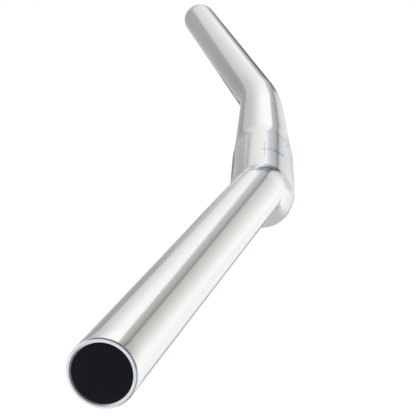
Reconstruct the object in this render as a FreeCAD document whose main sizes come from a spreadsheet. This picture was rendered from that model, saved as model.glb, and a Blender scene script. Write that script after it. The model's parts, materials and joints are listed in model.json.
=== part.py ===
import FreeCAD, Part
import math
import os
import Sketcher

# Riser handlebar, in millimetres. It is one aluminium tube, thick in the middle where a stem clamps
# it, tapered to the grips, and bent twice on each side: up out of the clamp, then outwards and back.
# X runs along the width, the grips sweep back towards -Y, and +Z is up. The origin is the middle of
# the clamp. The half on the +X side is built first and then mirrored.

# Driving dimensions: name, value, meaning. Distances along the tube start at its middle.
DIMENSIONS = (
    ("grip_span", 700, "between the centres of the two open ends, along X"),
    ("clamp_straight", 64, "straight middle that a stem clamps"),
    ("inner_bend_radius", 70, "of the bend that lifts the tube out of the clamp, at its centreline"),
    ("rise_angle", 18.5, "slope of the rise, in degrees"),
    ("rise_straight", 31.5, "straight between the two bends"),
    ("outer_bend_radius", 95, "of the bend from the rise into the grip, at its centreline"),
    ("back_sweep", 10, "of the grips, seen from above, in degrees"),
    ("up_sweep", 2.7, "of the grips, seen from the front, in degrees"),
    ("clamp_diameter", 31.8, "outside, up to the start of the taper"),
    ("grip_diameter", 22.2, "outside, from the end of the taper"),
    ("clamp_wall", 2.4, "wall of the tube in the middle"),
    ("grip_wall", 1.5, "wall of the tube at the grips"),
    ("taper_start", 35, "distance along the tube where the taper starts"),
    ("taper_end", 104, "distance along the tube where the taper ends"),
    ("end_round", 0.5, "rounding of the outer edge of each open end"),
    ("bore_chamfer", 0.6, "width of the shallow chamfer of the inner edge of each open end"),
    ("bore_chamfer_depth", 0.15, "depth of that chamfer, along the tube"),
)

# An edge break takes at most this share of the wall that it is cut in.
BREAK_SHARE = 0.4

SHEET = "Sizes"
UP = FreeCAD.Vector(0, 0, 1)
ALONG = FreeCAD.Vector(1, 0, 0)


def make_sheet(doc):
    """The spreadsheet that holds the driving dimensions, each under its own alias."""
    sheet = doc.addObject("Spreadsheet::Sheet", SHEET)
    for row, (name, value, meaning) in enumerate(DIMENSIONS, start=1):
        sheet.set(f"A{row}", name)
        sheet.set(f"B{row}", str(value))
        sheet.set(f"C{row}", meaning)
        sheet.setAlias(f"B{row}", name)
    doc.recompute()
    return sheet


class Run:
    """One stretch of the centreline, straight or an arc, in a plane of its own.

    In that plane the run starts at the origin along +X, and an arc turns towards +Y.
    """

    def __init__(self, name, start, heading, length, radius=None, turn_to=None):
        self.name = name
        self.length = length
        self.radius = radius
        side = turn_to or heading.cross(UP)
        normal = heading.cross(side).normalize()
        self.rotation = FreeCAD.Rotation(heading, normal.cross(heading), normal, "XZY")
        self.placement = FreeCAD.Placement(start, self.rotation)

    def flat_point(self, distance):
        """The point at a distance along the run, in the run's own plane."""
        if self.radius is None:
            return FreeCAD.Vector(distance, 0, 0)
        turn = distance / self.radius
        return FreeCAD.Vector(self.radius * math.sin(turn), self.radius * (1 - math.cos(turn)), 0)

    def flat_heading(self, distance):
        """The heading at a distance along the run, in the run's own plane."""
        turn = 0 if self.radius is None else distance / self.radius
        return FreeCAD.Vector(math.cos(turn), math.sin(turn), 0)

    def point(self, distance):
        return self.placement.multVec(self.flat_point(distance))

    def heading(self, distance):
        return self.rotation.multVec(self.flat_heading(distance))

    def edge(self, start, end):
        """The stretch between two distances, as an edge in the run's own plane."""
        a, b = self.flat_point(start), self.flat_point(end)
        if self.radius is None:
            return Part.LineSegment(a, b)
        return Part.Arc(a, self.flat_point((start + end) / 2), b)


def centreline(sheet):
    """The runs of the half on the +X side, from the middle of the clamp to the centre of the end."""
    rise = math.radians(sheet.rise_angle)
    rising = FreeCAD.Vector(math.cos(rise), 0, math.sin(rise))
    back = math.tan(math.radians(sheet.back_sweep))
    up = math.tan(math.radians(sheet.up_sweep))
    gripping = FreeCAD.Vector(1, -back, up).normalize()
    outer_turn = rising.getAngle(gripping)

    clamp = Run("clamp", FreeCAD.Vector(), ALONG, sheet.clamp_straight / 2)
    inner = Run("inner_bend", clamp.point(clamp.length), ALONG, sheet.inner_bend_radius * rise,
                sheet.inner_bend_radius, UP)
    riser = Run("rise", inner.point(inner.length), rising, sheet.rise_straight)
    outer = Run("outer_bend", riser.point(riser.length), rising, sheet.outer_bend_radius * outer_turn,
                sheet.outer_bend_radius, gripping)
    grip_start = outer.point(outer.length)
    grip_length = (sheet.grip_span / 2 - grip_start.x) / gripping.x
    grip = Run("grip", grip_start, gripping, grip_length)
    return [clamp, inner, riser, outer, grip]


def spans(sheet, runs):
    """Each run with the distances along it where its bend, or the tube's taper, starts or ends."""
    passed = 0
    for run in runs:
        marks = [sheet.taper_start - passed, sheet.taper_end - passed]
        inside = sorted(mark for mark in marks if 0 < mark < run.length)
        yield run, passed, [0, *inside, run.length]
        passed += run.length


def new_sketch(body, name, placement):
    """A sketch on the body's XY plane, moved to the given placement."""
    ground = next(f for f in body.Origin.OriginFeatures if f.Role == "XY_Plane")
    sketch = body.newObject("Sketcher::SketchObject", name)
    sketch.AttachmentSupport = (ground, [""])
    sketch.MapMode = "FlatFace"
    sketch.AttachmentOffset = placement
    return sketch


def add_path(body, run, marks):
    """The run's centreline, with one edge for each span."""
    sketch = new_sketch(body, f"{run.name}_path", run.placement)
    for start, end in zip(marks, marks[1:]):
        edge = sketch.addGeometry(run.edge(start, end))
        sketch.addConstraint(Sketcher.Constraint("Block", edge))
    return sketch


def add_circle(sketch, name, radius):
    """A circle about the sketch's origin, whose radius follows the sheet."""
    circle = sketch.addGeometry(Part.Circle(FreeCAD.Vector(), FreeCAD.Vector(0, 0, 1), 1))
    sketch.addConstraint(Sketcher.Constraint("Coincident", circle, 3, -1, 1))
    constraint = sketch.addConstraint(Sketcher.Constraint("Radius", circle, 1))
    sketch.renameConstraint(constraint, name)
    sketch.setExpression(f"Constraints.{name}", radius)


def taper_share(sheet, distance):
    """1 at the clamp's full size, 0 at the grip's size, and a straight line between."""
    share = (sheet.taper_end - distance) / (sheet.taper_end - sheet.taper_start)
    return min(1, max(0, share))


def add_section(body, sheet, run, mark, distance):
    """The tube's section, two circles, across the centreline at a mark of a run."""
    heading = run.heading(mark)
    across = FreeCAD.Rotation(UP.cross(heading), UP, heading, "ZXY")
    sketch = new_sketch(body, f"{run.name}_section", FreeCAD.Placement(run.point(mark), across))
    share = taper_share(sheet, distance)
    blend = "({0}.grip_{1} + ({0}.clamp_{1} - {0}.grip_{1}) * {2!r})"
    outside = blend.format(SHEET, "diameter", share) + " / 2"
    wall = blend.format(SHEET, "wall", share)
    add_circle(sketch, "outside", outside)
    add_circle(sketch, "bore", f"{outside} - {wall}")
    return sketch


def add_tube(body, sheet, runs):
    """One pipe for each span of the centreline, from section to section."""
    section = add_section(body, sheet, runs[0], 0, 0)
    for run, passed, marks in spans(sheet, runs):
        path = add_path(body, run, marks)
        for number, (start, end) in enumerate(zip(marks, marks[1:]), start=1):
            following = add_section(body, sheet, run, end, passed + end)
            pipe = body.newObject("PartDesign::AdditivePipe", f"{run.name}_tube")
            pipe.Profile = section
            pipe.Spine = (path, [f"Edge{number}"])
            if taper_share(sheet, passed + start) != taper_share(sheet, passed + end):
                pipe.Transformation = "Multisection"
                pipe.Sections = [(following, [""])]
            section = following


def end_edge(shape, centre, radius):
    """The name of the circular edge of the given radius about the centre of the open end."""
    for number, edge in enumerate(shape.Edges, start=1):
        curve = edge.Curve
        if not isinstance(curve, Part.Circle):
            continue
        if curve.Center.isEqual(centre, 1e-3) and abs(curve.Radius - radius) < 1e-3:
            return f"Edge{number}"
    raise RuntimeError("the open end has no edge of that radius")


def break_end_edges(doc, body, sheet, end):
    """Rounds the outer edge of the open end and cuts a shallow chamfer at the edge of its bore."""
    doc.recompute()
    tube = body.Tip
    outside = sheet.grip_diameter / 2
    fillet = body.newObject("PartDesign::Fillet", "end_rounding")
    fillet.Base = (tube, [end_edge(tube.Shape, end, outside)])
    limit = f"{SHEET}.grip_wall * {BREAK_SHARE}"
    fillet.setExpression("Radius", f"min({SHEET}.end_round; {limit})")
    doc.recompute()
    chamfer = body.newObject("PartDesign::Chamfer", "bore_edge")
    chamfer.Base = (fillet, [end_edge(fillet.Shape, end, outside - sheet.grip_wall)])
    chamfer.ChamferType = "Two distances"
    chamfer.setExpression("Size", f"min({SHEET}.bore_chamfer; {limit})")
    chamfer.setExpression("Size2", f"{SHEET}.bore_chamfer_depth")


def mirror_half(doc, body):
    """Adds the half on the -X side."""
    doc.recompute()
    middle = next(f for f in body.Origin.OriginFeatures if f.Role == "YZ_Plane")
    mirror = body.newObject("PartDesign::Mirrored", "both_halves")
    mirror.TransformMode = "Whole shape"
    mirror.MirrorPlane = (middle, [""])
    body.Tip = mirror


def check(doc, parts):
    """Stops if a feature failed or a part has no sound solid."""
    for item in doc.Objects:
        if "Invalid" in item.State or "Error" in item.State:
            raise RuntimeError(f"{item.Label} failed: {item.State}")
    for part in parts:
        shape = part.Shape
        if shape.isNull() or not shape.isValid() or len(shape.Solids) != 1:
            raise RuntimeError(f"{part.Label} is not one sound solid")


def main():
    doc = FreeCAD.newDocument("riser_handlebar")
    sheet = make_sheet(doc)
    body = doc.addObject("PartDesign::Body", "handlebar")
    body.Label = "handlebar"
    body.Placement = FreeCAD.Placement()

    runs = centreline(sheet)
    add_tube(body, sheet, runs)
    end = runs[-1].point(runs[-1].length)
    break_end_edges(doc, body, sheet, end)
    mirror_half(doc, body)
    doc.recompute()
    check(doc, [body])

    os.makedirs("parts", exist_ok=True)
    body.Shape.exportStep(f"parts/{body.Label}.step")
    length = 2 * sum(run.length for run in runs)
    print(f"rise {end.z:.2f}, reach back {-end.y:.2f}, length along the tube {length:.1f}")
    print(f"volume {body.Shape.Volume:.0f} cubic mm")


main()
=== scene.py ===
import json
import math

import bpy
import numpy as np
from mathutils import Matrix, Vector


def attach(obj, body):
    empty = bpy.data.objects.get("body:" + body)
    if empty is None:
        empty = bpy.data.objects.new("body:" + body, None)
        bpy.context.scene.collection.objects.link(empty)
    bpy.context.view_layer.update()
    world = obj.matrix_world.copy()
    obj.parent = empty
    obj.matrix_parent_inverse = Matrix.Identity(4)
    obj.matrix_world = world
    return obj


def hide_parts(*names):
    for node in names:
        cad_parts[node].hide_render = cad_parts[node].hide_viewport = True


# The looks of a riser handlebar: one polished aluminium tube with open ends, and the light tent
# that it mirrors. Lengths are in metres and angles in degrees, in the row frame: +X is the rider's
# right, the grips sweep back towards -Y, and +Z is up.

MM = 0.001

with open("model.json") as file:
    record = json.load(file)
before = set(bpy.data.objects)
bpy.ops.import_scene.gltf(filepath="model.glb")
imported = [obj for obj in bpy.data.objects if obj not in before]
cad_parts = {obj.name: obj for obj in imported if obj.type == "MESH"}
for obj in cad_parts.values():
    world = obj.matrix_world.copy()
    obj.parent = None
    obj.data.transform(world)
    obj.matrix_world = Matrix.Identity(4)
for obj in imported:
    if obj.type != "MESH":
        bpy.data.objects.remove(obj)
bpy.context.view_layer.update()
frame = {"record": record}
mounts = {mount["name"]: mount for mount in frame["record"]["mounts"]}

# The tube's sizes. The record gives the diameters, the clamp's straight and where the grip lies.
CLAMP_RADIUS = mounts["stem_clamp"]["dims"]["r_mm"] * MM
CLAMP_STRAIGHT = mounts["stem_clamp"]["dims"]["length_mm"] * MM
GRIP_RADIUS = mounts["right_grip"]["dims"]["r_mm"] * MM
GRIP_BORE = mounts["right_bar_end"]["dims"]["r_mm"] * MM
GRIP_AXIS = Vector(mounts["right_grip"]["axis"]).normalized()
CLAMP_WALL = 2.4 * MM
INNER_BEND_RADIUS = 70 * MM
RISE_ANGLE = 18.5
RISE_STRAIGHT = 31.5 * MM
OUTER_BEND_RADIUS = 95 * MM
TAPER_START = 35 * MM
TAPER_END = 104 * MM
END_ROUND = 0.5 * MM
BORE_CHAMFER = 0.6 * MM
BORE_CHAMFER_DEPTH = 0.15 * MM
# The taper runs into the straight tube over this much on each side.
TAPER_BLEND = 2.5 * MM

# How finely the tube is meshed: points around it, and steps along it where it bends and where not.
AROUND = 160
BEND_STEP = 1 * MM
STRAIGHT_STEP = 8 * MM
BORE_STEP = 4 * MM
ROUND_STEPS = 5

# The tube's finishes, in the order of its material slots.
FINISHES = ("polished", "cut", "bore")

# The camera, at the photograph's viewing angle.
CAMERA_PLACE = Vector((0.79079, 0.01464, 0.19785))
CAMERA_AZIMUTH = -176.856
CAMERA_ELEVATION = -15.061
CAMERA_ROLL = 4.036
LENS = 138.485
SENSOR = 36
CLIP = (0.01, 100)


class Run:
    """A straight of the centreline or, with a radius, an arc that turns towards a direction."""

    def __init__(self, start, heading, length, radius=None, turn_to=None):
        self.start = start
        self.along = heading
        self.length = length
        self.radius = radius
        if radius:
            self.side = (turn_to - turn_to.dot(heading) * heading).normalized()

    def at(self, distance):
        """The point and the heading at a distance along the run."""
        if not self.radius:
            return self.start + self.along * distance, self.along
        turn = distance / self.radius
        point = (self.start + self.along * (self.radius * math.sin(turn))
                 + self.side * (self.radius * (1 - math.cos(turn))))
        return point, self.along * math.cos(turn) + self.side * math.sin(turn)

    def end(self):
        return self.at(self.length)[0]


def centreline():
    """The runs of the half on the +X side, from the middle of the clamp to the open end."""
    level = Vector((1, 0, 0))
    rise = math.radians(RISE_ANGLE)
    rising = Vector((math.cos(rise), 0, math.sin(rise)))
    clamp = Run(Vector(), level, CLAMP_STRAIGHT / 2)
    inner = Run(clamp.end(), level, INNER_BEND_RADIUS * rise, INNER_BEND_RADIUS, rising)
    riser = Run(inner.end(), rising, RISE_STRAIGHT)
    outer = Run(riser.end(), rising, OUTER_BEND_RADIUS * rising.angle(GRIP_AXIS),
                OUTER_BEND_RADIUS, GRIP_AXIS)
    grip_length = mounts["right_grip"]["dims"]["length_mm"] * MM + END_ROUND
    return [clamp, inner, riser, outer, Run(outer.end(), GRIP_AXIS, grip_length)]


RUNS = centreline()
HALF_LENGTH = sum(run.length for run in RUNS)
GRIP_START = HALF_LENGTH - RUNS[-1].length


def station(along):
    """The tube's centre, up direction and side direction at a distance from its middle.

    A negative distance is on the -X side. The side direction points forwards, towards +Y.
    """
    distance = abs(along)
    for run in RUNS[:-1]:
        if distance <= run.length:
            break
        distance -= run.length
    else:
        run = RUNS[-1]
    centre, heading = run.at(distance)
    side = Vector((0, 0, 1)).cross(heading).normalized()
    up = heading.cross(side)
    if along < 0:
        centre, up, side = (Vector((-v.x, v.y, v.z)) for v in (centre, up, side))
    return centre, up, side


def taper_share(along):
    """1 at the clamp's size and 0 at the grip's, with a short blend at each end of the taper."""
    def ramp(distance):
        if distance <= -TAPER_BLEND:
            return 0
        if distance >= TAPER_BLEND:
            return distance
        return (distance + TAPER_BLEND) ** 2 / (4 * TAPER_BLEND)

    distance = abs(along)
    fallen = ramp(distance - TAPER_START) - ramp(distance - TAPER_END)
    return 1 - fallen / (TAPER_END - TAPER_START)


def outer_radius(along):
    return GRIP_RADIUS + (CLAMP_RADIUS - GRIP_RADIUS) * taper_share(along)


def bore_radius(along):
    return GRIP_BORE + (CLAMP_RADIUS - CLAMP_WALL - GRIP_BORE) * taper_share(along)


def surface_point(along, angle, radius):
    """A point about the centreline. The angle is in radians, from the top towards +Y."""
    centre, up, side = station(along)
    return centre + up * (radius * math.cos(angle)) + side * (radius * math.sin(angle))


def steps(start, end, step):
    """Evenly spaced values from start up to, but without, end."""
    return np.linspace(start, end, max(1, math.ceil((end - start) / step)), endpoint=False)


def half_stations(fine):
    """Distances along the half tube, close together where it bends or tapers."""
    bent = max(TAPER_END, GRIP_START) + TAPER_BLEND
    return [*steps(0, bent, fine), *steps(bent, HALF_LENGTH - 2 * END_ROUND, STRAIGHT_STEP)]


def lip():
    """The open end as points (distance, radius): its rounded outer edge, and the bore's chamfer."""
    rounding = []
    for turn in np.linspace(0, math.pi / 2, ROUND_STEPS + 1):
        rounding.append((HALF_LENGTH - END_ROUND * (1 - math.sin(turn)),
                         GRIP_RADIUS - END_ROUND * (1 - math.cos(turn))))
    chamfer = [(HALF_LENGTH, GRIP_BORE + BORE_CHAMFER),
               (HALF_LENGTH - BORE_CHAMFER_DEPTH, GRIP_BORE)]
    return rounding, chamfer


def tube_section():
    """The rings of the tube's skin: distance, radius, finish, and whether the edge there is sharp.

    They run outside from the middle to the +X end, back through the bore to the -X end, and outside
    again to the middle.
    """
    rounding, chamfer = lip()
    outside = [(s, outer_radius(s), "polished", False) for s in half_stations(BEND_STEP)]
    inside = [(s, bore_radius(s), "bore", False) for s in half_stations(BORE_STEP)]
    rounded = [(s, r, "polished", False) for s, r in rounding[:-1]]
    face = [(*rounding[-1], "cut", False), (*chamfer[0], "cut", True), (*chamfer[1], "bore", True)]
    half = outside + rounded + face + inside[:0:-1]
    # A ring's finish is that of the band that follows it. On the other half the same rings come in
    # the opposite order, so there the finishes move on by one.
    back = []
    for (along, radius, _, sharp), (_, _, finish, _) in zip([*half[1:], inside[0]], half):
        back.append((-along, radius, finish, sharp))
    return half + [(0, bore_radius(0), "bore", False)] + back[-2::-1]


def new_mesh(name, vertices, faces):
    mesh = bpy.data.meshes.new(name)
    mesh.from_pydata([tuple(v) for v in vertices], [], faces)
    mesh.validate()
    mesh.update()
    return mesh


def add_object(name, mesh):
    piece = bpy.data.objects.new(name, mesh)
    bpy.context.scene.collection.objects.link(piece)
    return piece


# The attribute that holds each point's place on the tube as if it were straight, with its length
# along Z. Grain and polishing marks follow the bends with it.
PLACE = "tube_place"


def tube_points(rings):
    """The points of all rings, and their places on the straight tube."""
    points, places = [], []
    for along, radius, _, _ in rings:
        for angle in np.linspace(0, 2 * math.pi, AROUND, endpoint=False):
            points.append(surface_point(along, angle, radius))
            places.append((radius * math.cos(angle), radius * math.sin(angle), along))
    return points, places


def tube_faces(rings):
    """One band of faces from each ring to the next, and from the last to the first."""
    faces, finishes = [], []
    for ring, (_, _, finish, _) in enumerate(rings):
        following = (ring + 1) % len(rings)
        for step in range(AROUND):
            beside = (step + 1) % AROUND
            faces.append((ring * AROUND + step, ring * AROUND + beside,
                          following * AROUND + beside, following * AROUND + step))
            finishes.append(FINISHES.index(finish))
    return faces, finishes


def mark_sharp(mesh, rings):
    """Keeps the edges along the sharp rings out of the smooth shading."""
    sharp_rings = [ring for ring, (_, _, _, sharp) in enumerate(rings) if sharp]
    ends = np.zeros(len(mesh.edges) * 2, int)
    mesh.edges.foreach_get("vertices", ends)
    first, second = ends.reshape(-1, 2).T // AROUND
    sharp = (first == second) & np.isin(first, sharp_rings)
    mesh.attributes.new("sharp_edge", "BOOLEAN", "EDGE").data.foreach_set("value", sharp)


def add_tube():
    """The tube's skin, closed around its wall, with its finishes on their own faces."""
    rings = tube_section()
    points, places = tube_points(rings)
    faces, finishes = tube_faces(rings)
    mesh = new_mesh("handlebar_tube", points, faces)
    for material in (polished_alloy(), cut_alloy(), dark_bore()):
        mesh.materials.append(material)
    mesh.polygons.foreach_set("material_index", finishes)
    mesh.shade_smooth()
    mark_sharp(mesh, rings)
    place = mesh.attributes.new(PLACE, "FLOAT_VECTOR", "POINT")
    place.data.foreach_set("vector", np.array(places, np.float32).ravel())
    tube = add_object("handlebar_tube", mesh)
    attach(tube, "root")
    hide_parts("handlebar")


class Nodes:
    """Shader nodes of one material or world, made and joined in short calls."""

    def __init__(self, owner):
        owner.use_nodes = True
        self.tree = owner.node_tree
        self.tree.nodes.clear()

    def add(self, kind, inputs=(), **settings):
        node = self.tree.nodes.new("ShaderNode" + kind)
        for name, value in settings.items():
            setattr(node, name, value)
        for name, value in dict(inputs).items():
            if isinstance(value, bpy.types.NodeSocket):
                self.tree.links.new(value, node.inputs[name])
            else:
                node.inputs[name].default_value = value
        return node

    def join(self, output, socket):
        self.tree.links.new(output, socket)

    def math(self, operation, first, second=0.0):
        return self.add("Math", {0: first, 1: second}, operation=operation).outputs[0]

    def scaled(self, vector, scale):
        return self.add("VectorMath", {0: vector, 1: scale}, operation="MULTIPLY").outputs[0]

    def noise(self, vector, scale=1.0, detail=2.0):
        inputs = {"Vector": vector, "Scale": scale, "Detail": detail}
        return self.add("TexNoise", inputs).outputs["Fac"]

    def between(self, share, low, high):
        inputs = {"Value": share, "To Min": low, "To Max": high}
        return self.add("MapRange", inputs).outputs["Result"]

    def blend(self, share, first, second):
        inputs = {"Factor": share, 6: first, 7: second}
        return self.add("Mix", inputs, data_type="RGBA").outputs[2]

    def bump(self, height, distance):
        inputs = {"Height": height, "Distance": distance, "Strength": 1.0}
        return self.add("Bump", inputs).outputs["Normal"]


def tube_place(nodes):
    return nodes.add("Attribute", attribute_name=PLACE).outputs["Vector"]


def metal(name):
    material = bpy.data.materials.new(name)
    nodes = Nodes(material)
    surface = nodes.add("BsdfPrincipled", {"Metallic": 1.0})
    nodes.add("OutputMaterial", {"Surface": surface.outputs["BSDF"]})
    return material, nodes, surface


# The finishes. A scale counts spots of noise in a metre: twice across the tube, then along it.
ALLOY = (0.925, 0.925, 0.92, 1)
ALLOY_SHADED = (0.895, 0.9, 0.9, 1)
POLISH_ROUGHNESS = (0.045, 0.085)
HAZE_SCALE = (60, 60, 14)
STREAK_SCALE = (420, 420, 3)
STREAK_HEIGHT = 0.004 * MM

CUT_ALLOY = (0.88, 0.89, 0.9, 1)
CUT_ROUGHNESS = (0.14, 0.24)
CUT_SCALE = (900, 900, 900)
TURNING_PITCH = 0.16 * MM
TURNING_HEIGHT = 0.001 * MM

BORE_DARK = (0.004, 0.0043, 0.005, 1)
BORE_LIGHT = (0.006, 0.0064, 0.0075, 1)
BORE_ROUGHNESS = (0.6, 0.8)
BORE_SCALE = (300, 300, 60)
BORE_SPECULAR = 0.05
# Painted light: a faint even glow given off by the bore's wall, where no lamp reaches.
BORE_PAINTED_GLOW = (0.0098, 0.0104, 0.0135, 1)

ETCHED = ((0.36, 0.37, 0.38, 1), (0.5, 0.5, 0.51, 1))
ETCHED_BOLD = ((0.12, 0.12, 0.13, 1), (0.2, 0.2, 0.21, 1))
ETCHED_ROUGHNESS = (0.4, 0.6)
ETCHED_SCALE = 9000


def polished_alloy():
    """Nearly a mirror, with faint streaks along the tube and a haze from polishing."""
    material, nodes, surface = metal("polished_alloy")
    place = tube_place(nodes)
    haze = nodes.noise(nodes.scaled(place, HAZE_SCALE), detail=3)
    streaks = nodes.noise(nodes.scaled(place, STREAK_SCALE))
    nodes.join(nodes.blend(haze, ALLOY, ALLOY_SHADED), surface.inputs["Base Color"])
    nodes.join(nodes.between(haze, *POLISH_ROUGHNESS), surface.inputs["Roughness"])
    nodes.join(nodes.bump(streaks, STREAK_HEIGHT), surface.inputs["Normal"])
    return material


def cut_alloy():
    """The saw-cut and faced end: bright, with fine turning marks round the axis."""
    material, nodes, surface = metal("cut_alloy")
    place = tube_place(nodes)
    flat = nodes.scaled(place, (1, 1, 0))
    radius = nodes.add("VectorMath", {0: flat}, operation="LENGTH").outputs["Value"]
    turning = nodes.math("SINE", nodes.math("MULTIPLY", radius, 2 * math.pi / TURNING_PITCH))
    surface.inputs["Base Color"].default_value = CUT_ALLOY
    grain = nodes.noise(nodes.scaled(place, CUT_SCALE))
    nodes.join(nodes.between(grain, *CUT_ROUGHNESS), surface.inputs["Roughness"])
    nodes.join(nodes.bump(turning, TURNING_HEIGHT), surface.inputs["Normal"])
    return material


def dark_bore():
    """The inside of the tube: nearly black, matt and slightly mottled, with a faint even painted
    glow.
    """
    material = bpy.data.materials.new("dark_bore")
    nodes = Nodes(material)
    place = tube_place(nodes)
    mottle = nodes.noise(nodes.scaled(place, BORE_SCALE), detail=3)
    surface = nodes.add("BsdfPrincipled", {
        "Base Color": nodes.blend(mottle, BORE_DARK, BORE_LIGHT),
        "Roughness": nodes.between(mottle, *BORE_ROUGHNESS),
        "Specular IOR Level": BORE_SPECULAR,
        # The painted glow, which brightens the bore where no lamp lights it.
        "Emission Color": BORE_PAINTED_GLOW,
        "Emission Strength": 1.0,
    })
    nodes.add("OutputMaterial", {"Surface": surface.outputs["BSDF"]})
    return material


# The etched scale at the clamp: a line round the tube from the top forwards, bold in its middle
# stretch, with ticks across it and one mark apart. Angles are from the top towards +Y.
LINE_PLACE = 6.3 * MM
LINE_START, BOLD_START, BOLD_END, LINE_END = 1, 22, 43, 58
LINE_WIDTH, BOLD_WIDTH, TICK_WIDTH = 0.8 * MM, 1.3 * MM, 0.2 * MM
TICK_ANGLES = (7.6, 17, 26.4, 35.8, 45.2)
LONG_TICK = (-9 * MM, 22 * MM)
SHORT_TICK = (-1 * MM, 9 * MM)
MARK_PLACE, MARK_ANGLES = (-30 * MM, -27 * MM), (57, 61)
# How far a plate stands out of the skin, how thick it is, and how far its mesh turns in one step.
ETCH_PROUD, ETCH_DEPTH, ETCH_TURN = 0.012 * MM, 0.03 * MM, 2


class Etching:
    """Thin closed plates on the tube's skin, each in one of two finishes."""

    def __init__(self):
        self.vertices, self.faces, self.finishes = [], [], []

    def add_plate(self, places, angles, bold=False):
        """A plate between two distances along the tube and two angles round it."""
        rows = max(1, math.ceil((places[1] - places[0]) / BEND_STEP))
        columns = max(1, math.ceil((angles[1] - angles[0]) / ETCH_TURN))
        faces = plate_faces(rows, columns, len(self.vertices))
        for height in (ETCH_PROUD, ETCH_PROUD - ETCH_DEPTH):
            for along in np.linspace(*places, rows + 1):
                for angle in np.radians(np.linspace(*angles, columns + 1)):
                    self.vertices.append(surface_point(along, angle, outer_radius(along) + height))
        self.faces += faces
        self.finishes += [int(bold)] * len(faces)


def plate_faces(rows, columns, first):
    """The faces of a closed plate whose points, upper layer before lower, count from first."""
    wide = columns + 1
    layer_size = (rows + 1) * wide

    def corner(row, column, layer):
        return first + layer * layer_size + row * wide + column

    faces = []
    for row in range(rows):
        for column in range(columns):
            square = [(row, column), (row, column + 1), (row + 1, column + 1), (row + 1, column)]
            faces.append([corner(*place, 0) for place in square])
            faces.append([corner(*place, 1) for place in reversed(square)])
    rim = [(0, c) for c in range(columns)] + [(r, columns) for r in range(rows)]
    rim += [(rows, c) for c in range(columns, 0, -1)] + [(r, 0) for r in range(rows, 0, -1)]
    for here, there in zip(rim, rim[1:] + rim[:1]):
        faces.append([corner(*there, 0), corner(*here, 0), corner(*here, 1), corner(*there, 1)])
    return faces


def line_width(angle):
    return BOLD_WIDTH if BOLD_START < angle < BOLD_END else LINE_WIDTH


def add_scale():
    """The etched scale's line, its ticks and the mark apart from it."""
    etching = Etching()
    for angles in ((LINE_START, BOLD_START), (BOLD_START, BOLD_END), (BOLD_END, LINE_END)):
        half = line_width(sum(angles) / 2) / 2
        etching.add_plate((LINE_PLACE - half, LINE_PLACE + half), angles, angles[0] == BOLD_START)
    half_tick = math.degrees(TICK_WIDTH / 2 / CLAMP_RADIUS)
    for angle in TICK_ANGLES:
        start, end = LONG_TICK if angle == TICK_ANGLES[0] else SHORT_TICK
        half = line_width(angle) / 2
        for places in ((start, LINE_PLACE - half), (LINE_PLACE + half, end)):
            etching.add_plate(places, (angle - half_tick, angle + half_tick))
    etching.add_plate(MARK_PLACE, MARK_ANGLES)
    mesh = new_mesh("clamp_scale", etching.vertices, etching.faces)
    mesh.materials.append(etched_alloy("etched_alloy", *ETCHED))
    mesh.materials.append(etched_alloy("etched_bold", *ETCHED_BOLD))
    mesh.polygons.foreach_set("material_index", etching.finishes)
    scale = add_object("clamp_scale", mesh)
    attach(scale, "root")


def etched_alloy(name, dark, light):
    """The scale's lines, burnt matt and grey into the polish."""
    material, nodes, surface = metal(name)
    where = nodes.add("TexCoord").outputs["Object"]
    grain = nodes.noise(where, ETCHED_SCALE)
    nodes.join(nodes.blend(grain, dark, light), surface.inputs["Base Color"])
    nodes.join(nodes.between(grain, *ETCHED_ROUGHNESS), surface.inputs["Roughness"])
    return material


# The light tent: a dome of white cloth round the bar, which only mirrors see. Azimuth 0 is towards
# -X, away from the camera, and it grows towards +Y. Brightness 1 is white. Soft values are half the
# width of an edge, in degrees.
TENT_RADIUS = 0.9

# The cloth, brighter towards +Y and overhead.
CLOTH_DIM = (0.53, 0.54, 0.535)
CLOTH = (1.0, 0.993, 0.99)
CLOTH_HIGH = (1.05, 1.05, 1.03)
CLOTH_DIM_AZIMUTH, CLOTH_FULL_AZIMUTH = -29.7, 12.2
CLOTH_TILT, CLOTH_TILT_FROM = 0.15, 20
CLOTH_HIGH_FROM, CLOTH_HIGH_TO = 25.3, 36

# A grey panel low on the -Y side, brighter at its foot and towards the middle.
LEFT_PANEL = (0.4, 0.407, 0.403)
LEFT_FOOT = (0.784, 0.782, 0.795)
LEFT_FOOT_FULL, LEFT_FOOT_END = -22.5, -3.6
LEFT_TOP, LEFT_TOP_SLOPE, LEFT_TOP_SOFT = 10.9, -0.15, 1.4
LEFT_TOP_MIDDLE, LEFT_TOP_REACH = -15, (-40, 10)
MIDDLE = (0.71, 0.727, 0.736)
MIDDLE_FROM, MIDDLE_TO = -13.4, -2.8

# Patches: azimuth and elevation, size both ways, and how much brighter, or darker, their middle is.
PANEL_STRIPE = ((-12.5, 1.0), (1.9, 7.2), 0.18)
PANEL_GLOW = ((-15.0, -5.7), (1.7, 2.6), 0.24)
PANEL_SHADE = ((-23.0, 6.0), (3.0, 6.0), -0.13)
PANEL_CORNER = ((-9.6, 4.8), (1.3, 2.6), 0.12)
PANEL_HEM = ((-12.0, 6.6), (2.0, 1.3), 0.36)
PANEL_PATCH = ((-7.8, -5.1), (1.8, 2.2), 0.44)
PANEL_PATCHES = (PANEL_STRIPE, PANEL_GLOW, PANEL_SHADE, PANEL_CORNER, PANEL_HEM, PANEL_PATCH)
MIDDLE_GLOW = ((0.5, 8.6), (4.1, 3.1), 0.14)

# A dark shelf at the panel's inner end. Its lower edge leans.
SHELF_FROM, SHELF_TO, SHELF_TOP = -11.3, -2.0, -8.6
SHELF_FOOT, SHELF_LEAN, SHELF_SOFT = -10.8, -0.57, 0.5
SHELF_DARK = 0.62

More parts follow.
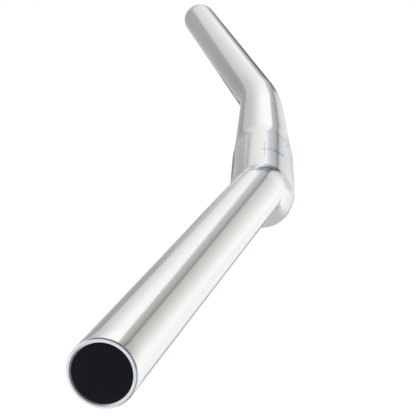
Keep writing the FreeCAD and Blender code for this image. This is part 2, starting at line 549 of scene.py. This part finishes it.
# The gap between the cloth and the panel on the +Y side, from its dark lower end upwards.
GAP_FOOT = (0.469, 0.466, 0.465)
GAP_DARK = (0.133, 0.14, 0.157)
GAP_LOW = (0.62, 0.652, 0.69)
GAP_HIGH = (0.593, 0.594, 0.587)
GAP_FOOT_END, GAP_DARK_FROM, GAP_FOOT_LEAN = -4.6, -1.9, -0.69
GAP_DARK_TO, GAP_LOW_FROM = -1.2, 8.9
GAP_LOW_TO, GAP_HIGH_FROM = 9.5, 22.8
GAP_SHADE = 0.49
GAP_LIFT, GAP_LIFT_FROM, GAP_LIFT_TO = 0.11, 3, 8
DUSK, DUSK_FROM, DUSK_TO = 0.4, 32.6, 48.7

# The panel on the +Y side, with a dark line along its edge.
RIGHT_TOP = (0.49, 0.477, 0.439)
RIGHT_FOOT = (1.03, 1.028, 1.024)
RIGHT_NEAR = (0.606, 0.619, 0.627)
RIGHT_FOOT_FULL, RIGHT_TOP_FULL = -16, 26.2
RIGHT_NEAR_TO, RIGHT_FAR_FROM = 3.1, 24.2
PANEL_LINE, PANEL_LINE_REACH = 0.21, 1.9

# Where the cloth ends on the +Y side, and where that panel starts: elevation, azimuth.
CLOTH_EDGE = ((-12, -1), (-2, -1.4), (3, -1.9), (7, -0.4), (10, 3.3), (13, 5.5), (16, 7.7),
              (20, 11.8), (24, 16), (28, 20.1), (33, 24.5), (38, 28.9), (45, 33.4))
CLOTH_EDGE_SOFT = 2.0
PANEL_EDGE = ((-16, 1), (-10, 4.7), (-4, 8.5), (0, 9.9), (4, 11.5), (8, 14.3), (12, 18.1),
              (15, 22.3), (17, 26.7), (19, 31), (22, 35.4), (26, 40.2), (30, 45.1), (36, 50.1))
PANEL_EDGE_SOFT = 0.72
NARROWEST_GAP = 0.5
# The corners of both edges are softened by averaging over these elevations.
EDGE_OFFSETS = (-1, 0, 1)

# The table under the bar, with a dark line along its far edge.
TABLE = (0.515, 0.527, 0.533)
TABLE_TOP, TABLE_TOP_SOFT = -19.9, 1.0
TABLE_FROM, TABLE_FROM_SOFT = -5.0, 4.0
TABLE_TO, TABLE_TO_SOFT = 11.2, 1.2
TABLE_LINE, TABLE_LINE_REACH, TABLE_LINE_LEAN = 0.25, 0.87, -0.39
TABLE_LINE_FROM, TABLE_LINE_SOFT, TABLE_LINE_MIDDLE, TABLE_LINE_FADE = 0, 2, 3, 3

# A bright flap beside the table, at the foot of the panel on the +Y side. Its inner edge leans
# outwards down to a height, and it fades out further round.
FLAP = (0.945, 0.955, 0.96)
FLAP_TOP, FLAP_EDGE, FLAP_SOFT = -14.3, 9.35, 0.25
FLAP_LEAN, FLAP_LEAN_END = 0.62, -18.7
FLAP_FADE_FROM, FLAP_FADE_TO = 25, 50

# The half of the tent behind the camera, and a dark curtain on its +Y side, open in a slit that is
# wide low down. Places of the curtain and the slit are counted from +X towards -Y. Above a height,
# the curtain's inner edge leans over.
FRONT = (0.8, 0.825, 0.87)
FRONT_FROM, FRONT_FULL = 70, 95
CURTAIN_FROM, CURTAIN_TO, CURTAIN_SOFT = -88, 11, 4
SLIT_FROM, SLIT_TO, SLIT_TOP = -66, -38, 26
WIDE_TO, WIDE_FOOT, WIDE_TOP = -9, -34, -3
CURTAIN_LEAN, CURTAIN_LEAN_FROM = 1.0, -2
CURTAIN_FOOT, CURTAIN_TOP = -62, 64
CURTAIN_DARK = 0.84


def smooth(value, start, end):
    """0 up to start, 1 from end on, and a soft rise between."""
    share = np.clip((value - start) / (end - start), 0, 1)
    return share * share * (3 - 2 * share)


def step_at(value, place, soft):
    return smooth(value, place - soft, place + soft)


def within(value, start, end, soft):
    """1 between start and end, and 0 elsewhere, with a soft step at each."""
    return step_at(value, start, soft) * (1 - step_at(value, end, soft))


def mixed(first, second, share):
    share = share[..., None]
    return np.asarray(first) * (1 - share) + np.asarray(second) * share


def edge_azimuth(elevation, edge):
    """The azimuth of an edge at an elevation, its corners softened, and how slanted it is there."""
    heights, places = np.array(edge, float).T

    def azimuth(at):
        total = sum(np.interp(at + offset, heights, places) for offset in EDGE_OFFSETS)
        return total / len(EDGE_OFFSETS)

    lean = azimuth(elevation + 0.5) - azimuth(elevation - 0.5)
    return azimuth(elevation), np.sqrt(1 + lean ** 2)


def with_patch(light, azimuth, elevation, patch):
    place, size, gain = patch
    away = ((azimuth - place[0]) / size[0]) ** 2 + ((elevation - place[1]) / size[1]) ** 2
    return light * (1 + gain * np.exp(-away))[..., None]


def left_light(azimuth, elevation):
    """The cloth and, under it, the panel on the -Y side."""
    full = mixed(CLOTH, CLOTH_HIGH, smooth(elevation, CLOTH_HIGH_FROM, CLOTH_HIGH_TO))
    turned = azimuth + CLOTH_TILT * (elevation - CLOTH_TILT_FROM)
    cloth = mixed(CLOTH_DIM, full, smooth(turned, CLOTH_DIM_AZIMUTH, CLOTH_FULL_AZIMUTH))
    panel = mixed(LEFT_FOOT, LEFT_PANEL, smooth(elevation, LEFT_FOOT_FULL, LEFT_FOOT_END))
    panel = mixed(panel, MIDDLE, smooth(azimuth, MIDDLE_FROM, MIDDLE_TO))
    top = LEFT_TOP + LEFT_TOP_SLOPE * (np.clip(azimuth, *LEFT_TOP_REACH) - LEFT_TOP_MIDDLE)
    light = mixed(panel, cloth, step_at(elevation, top, LEFT_TOP_SOFT))
    for patch in PANEL_PATCHES:
        light = with_patch(light, azimuth, elevation, patch)
    foot = SHELF_FOOT + SHELF_LEAN * (azimuth - SHELF_FROM)
    shelf = within(azimuth, SHELF_FROM, SHELF_TO, SHELF_SOFT)
    shelf = shelf * step_at(elevation, foot, 2 * SHELF_SOFT)
    shelf = shelf * (1 - step_at(elevation, SHELF_TOP, SHELF_SOFT / 2))
    light = light * (1 - SHELF_DARK * shelf)[..., None]
    return with_patch(light, azimuth, elevation, MIDDLE_GLOW)


def gap_light(azimuth, elevation, across):
    """The gap. Across is 0 at the cloth and 1 at the panel."""
    light = mixed(GAP_DARK, GAP_LOW, smooth(elevation, GAP_DARK_TO, GAP_LOW_FROM))
    lift = GAP_LIFT * smooth(azimuth, GAP_LIFT_FROM, GAP_LIFT_TO)
    light = light + np.asarray(GAP_LOW) * lift[..., None]
    leaning = elevation - GAP_FOOT_LEAN * azimuth
    light = mixed(GAP_FOOT, light, smooth(leaning, GAP_FOOT_END, GAP_DARK_FROM))
    light = mixed(light, GAP_HIGH, smooth(elevation, GAP_LOW_TO, GAP_HIGH_FROM))
    dusk = DUSK * smooth(azimuth, DUSK_FROM, DUSK_TO)
    return light * ((1 - GAP_SHADE * across) * (1 - dusk))[..., None]


def right_light(azimuth, elevation):
    """The panel on the +Y side."""
    light = mixed(RIGHT_FOOT, RIGHT_TOP, smooth(elevation, RIGHT_FOOT_FULL, RIGHT_TOP_FULL))
    return mixed(RIGHT_NEAR, light, smooth(azimuth, RIGHT_NEAR_TO, RIGHT_FAR_FROM))


def with_table(light, azimuth, elevation):
    table = 1 - step_at(elevation, TABLE_TOP, TABLE_TOP_SOFT)
    table = table * (1 - step_at(azimuth, TABLE_TO, TABLE_TO_SOFT))
    table = table * step_at(azimuth, TABLE_FROM, TABLE_FROM_SOFT)
    light = mixed(light, TABLE, table)
    edge = TABLE_TOP + TABLE_LINE_LEAN * (azimuth - TABLE_LINE_MIDDLE)
    line = np.exp(-((elevation - edge) / TABLE_LINE_REACH) ** 2)
    line = line * step_at(azimuth, TABLE_LINE_FROM, TABLE_LINE_SOFT)
    line = line * (1 - smooth(azimuth, TABLE_TO - TABLE_LINE_FADE, TABLE_TO))
    return light * (1 - TABLE_LINE * line)[..., None]


def with_flap(light, azimuth, elevation):
    edge = FLAP_EDGE + FLAP_LEAN * np.clip(FLAP_TOP - elevation, 0, FLAP_TOP - FLAP_LEAN_END)
    flap = step_at(azimuth, edge, FLAP_SOFT) * (1 - step_at(elevation, FLAP_TOP, 2 * FLAP_SOFT))
    return mixed(light, FLAP, flap * (1 - smooth(azimuth, FLAP_FADE_FROM, FLAP_FADE_TO)))


def with_curtain(light, azimuth, elevation):
    behind = np.mod(azimuth, 360) - 180
    inner_edge = CURTAIN_TO + CURTAIN_LEAN * np.maximum(elevation - CURTAIN_LEAN_FROM, 0)
    curtain = within(behind, CURTAIN_FROM, inner_edge, CURTAIN_SOFT)
    curtain = curtain * within(elevation, CURTAIN_FOOT, CURTAIN_TOP, CURTAIN_SOFT)
    slit_end = SLIT_TO + (WIDE_TO - SLIT_TO) * within(elevation, WIDE_FOOT, WIDE_TOP, CURTAIN_SOFT)
    slit = within(behind, SLIT_FROM, slit_end, CURTAIN_SOFT)
    slit = slit * (1 - step_at(elevation, SLIT_TOP, CURTAIN_SOFT))
    return light * (1 - CURTAIN_DARK * curtain * (1 - slit))[..., None]


def tent_light(azimuth, elevation):
    """The tent's brightness at an azimuth and an elevation, both arrays."""
    light = left_light(azimuth, elevation)
    cloth_end, cloth_slant = edge_azimuth(elevation, CLOTH_EDGE)
    panel_start, panel_slant = edge_azimuth(elevation, PANEL_EDGE)
    width = np.maximum(panel_start - cloth_end, NARROWEST_GAP)
    across = np.clip((azimuth - cloth_end) / width, 0, 1)
    past_cloth = step_at((azimuth - cloth_end) / cloth_slant, 0, CLOTH_EDGE_SOFT)
    light = mixed(light, gap_light(azimuth, elevation, across), past_cloth)
    off_panel = (azimuth - panel_start) / panel_slant
    light = mixed(light, right_light(azimuth, elevation), step_at(off_panel, 0, PANEL_EDGE_SOFT))
    line = np.exp(-(off_panel / PANEL_LINE_REACH) ** 2)
    light = light * (1 - PANEL_LINE * line)[..., None]
    light = with_table(light, azimuth, elevation)
    light = with_flap(light, azimuth, elevation)
    light = mixed(light, FRONT, smooth(np.abs(azimuth), FRONT_FROM, FRONT_FULL))
    return with_curtain(light, azimuth, elevation)


# The tent's mesh in spans (start, end, step), fine where the bar mirrors it to the camera.
TENT_AZIMUTHS = ((-180, -30, 3), (-30, -16, 0.8), (-16, 26, 0.3), (26, 54, 0.6), (54, 180, 3))
TENT_ELEVATIONS = ((-90, -36, 3), (-36, -24, 0.8), (-24, 34, 0.3), (34, 50, 0.6), (50, 90, 2))
TENT_LIGHT = "tent_light"


def grid_steps(spans):
    """Values through spans of (start, end, step), without the very last end."""
    values = []
    for start, end, step in spans:
        values += list(np.linspace(start, end, round((end - start) / step), endpoint=False))
    return values


def tent_mesh():
    """The dome, with its brightness in an attribute of its points."""
    azimuths = grid_steps(TENT_AZIMUTHS)
    elevations = grid_steps(TENT_ELEVATIONS) + [90]
    azimuth, elevation = np.meshgrid(azimuths, elevations)
    level = np.cos(np.radians(elevation))
    points = TENT_RADIUS * np.stack([-level * np.cos(np.radians(azimuth)),
                                     level * np.sin(np.radians(azimuth)),
                                     np.sin(np.radians(elevation))], axis=-1)
    wide = len(azimuths)
    faces = []
    for row in range(len(elevations) - 1):
        for column in range(wide):
            beside = (column + 1) % wide
            faces.append((row * wide + column, row * wide + beside,
                          (row + 1) * wide + beside, (row + 1) * wide + column))
    mesh = bpy.data.meshes.new("light_tent")
    mesh.from_pydata(points.reshape(-1, 3).tolist(), [], faces)
    light = np.ones((azimuth.size, 4), np.float32)
    light[:, :3] = tent_light(azimuth, elevation).reshape(-1, 3)
    attribute = mesh.attributes.new(TENT_LIGHT, "FLOAT_COLOR", "POINT")
    attribute.data.foreach_set("color", light.ravel())
    return mesh


def add_tent():
    mesh = tent_mesh()
    material = bpy.data.materials.new("light_tent")
    nodes = Nodes(material)
    colour = nodes.add("Attribute", attribute_name=TENT_LIGHT).outputs["Color"]
    glow = nodes.add("Emission", {"Color": colour, "Strength": 1.0})
    nodes.add("OutputMaterial", {"Surface": glow.outputs["Emission"]})
    material.cycles.emission_sampling = "NONE"
    mesh.materials.append(material)
    tent = add_object("light_tent", mesh)
    tent.visible_camera = False
    tent.visible_diffuse = False
    tent.visible_shadow = False


WHITE = (1, 1, 1, 1)
FLOOR_COLOUR = (0.98, 0.98, 0.98, 1)
FLOOR_HEIGHT = -0.36
FLOOR_SIZE = 30
# How much of the floor, as the camera sees it, is plain white. The rest takes light and shadow.
FLOOR_WHITE = 0.6


def add_floor():
    reach = FLOOR_SIZE / 2
    sides = ((-1, -1), (1, -1), (1, 1), (-1, 1))
    corners = [(x * reach, y * reach, FLOOR_HEIGHT) for x, y in sides]
    mesh = new_mesh("floor", corners, [(0, 1, 2, 3)])
    material = bpy.data.materials.new("floor")
    nodes = Nodes(material)
    surface = nodes.add("BsdfDiffuse", {"Color": FLOOR_COLOUR}).outputs["BSDF"]
    white = nodes.add("Emission", {"Color": WHITE, "Strength": 1.0}).outputs["Emission"]
    camera_ray = nodes.add("LightPath").outputs["Is Camera Ray"]
    share = nodes.math("MULTIPLY", camera_ray, FLOOR_WHITE)
    mix = nodes.add("MixShader", {0: share, 1: surface, 2: white})
    nodes.add("OutputMaterial", {"Surface": mix.outputs["Shader"]})
    mesh.materials.append(material)
    floor = add_object("floor", mesh)
    floor.visible_glossy = False


def add_world():
    """White all round: the backdrop that the camera sees, and an even soft light on everything."""
    world = bpy.data.worlds.new("studio")
    bpy.context.scene.world = world
    nodes = Nodes(world)
    sky = nodes.add("Background", {"Color": WHITE, "Strength": 1.0})
    nodes.add("OutputWorld", {"Surface": sky.outputs["Background"]})


LAMP_PLACE = Vector((0.3, -0.9, 1.6))
LAMP_SIZE = 1.2
LAMP_WATTS = 8


def add_lamp():
    """A weak softbox above the bar, on its -Y side."""
    data = bpy.data.lights.new("softbox", "AREA")
    data.size = LAMP_SIZE
    data.energy = LAMP_WATTS
    lamp = bpy.data.objects.new("softbox", data)
    bpy.context.scene.collection.objects.link(lamp)
    lamp.location = LAMP_PLACE
    lamp.rotation_euler = (-LAMP_PLACE).to_track_quat("-Z", "Y").to_euler()
    lamp.visible_camera = False
    lamp.visible_glossy = False


def add_camera():
    """The camera, from its place, the direction that it looks in, and its roll about that."""
    azimuth, elevation = math.radians(CAMERA_AZIMUTH), math.radians(CAMERA_ELEVATION)
    look = Vector((math.cos(elevation) * math.cos(azimuth),
                   math.cos(elevation) * math.sin(azimuth), math.sin(elevation)))
    level = look.cross(Vector((0, 0, 1))).normalized()
    right = Matrix.Rotation(math.radians(CAMERA_ROLL), 3, look) @ level
    up = right.cross(look)
    data = bpy.data.cameras.new("camera")
    data.sensor_width = SENSOR
    data.lens = LENS
    data.clip_start, data.clip_end = CLIP
    camera = bpy.data.objects.new("camera", data)
    bpy.context.scene.collection.objects.link(camera)
    turn = Matrix((right, up, -look)).transposed()
    camera.matrix_world = Matrix.Translation(CAMERA_PLACE) @ turn.to_4x4()
    bpy.context.scene.camera = camera


add_tube()
add_scale()
add_tent()
add_floor()
add_world()
add_lamp()
add_camera()
bpy.context.scene.view_settings.view_transform = "Standard"
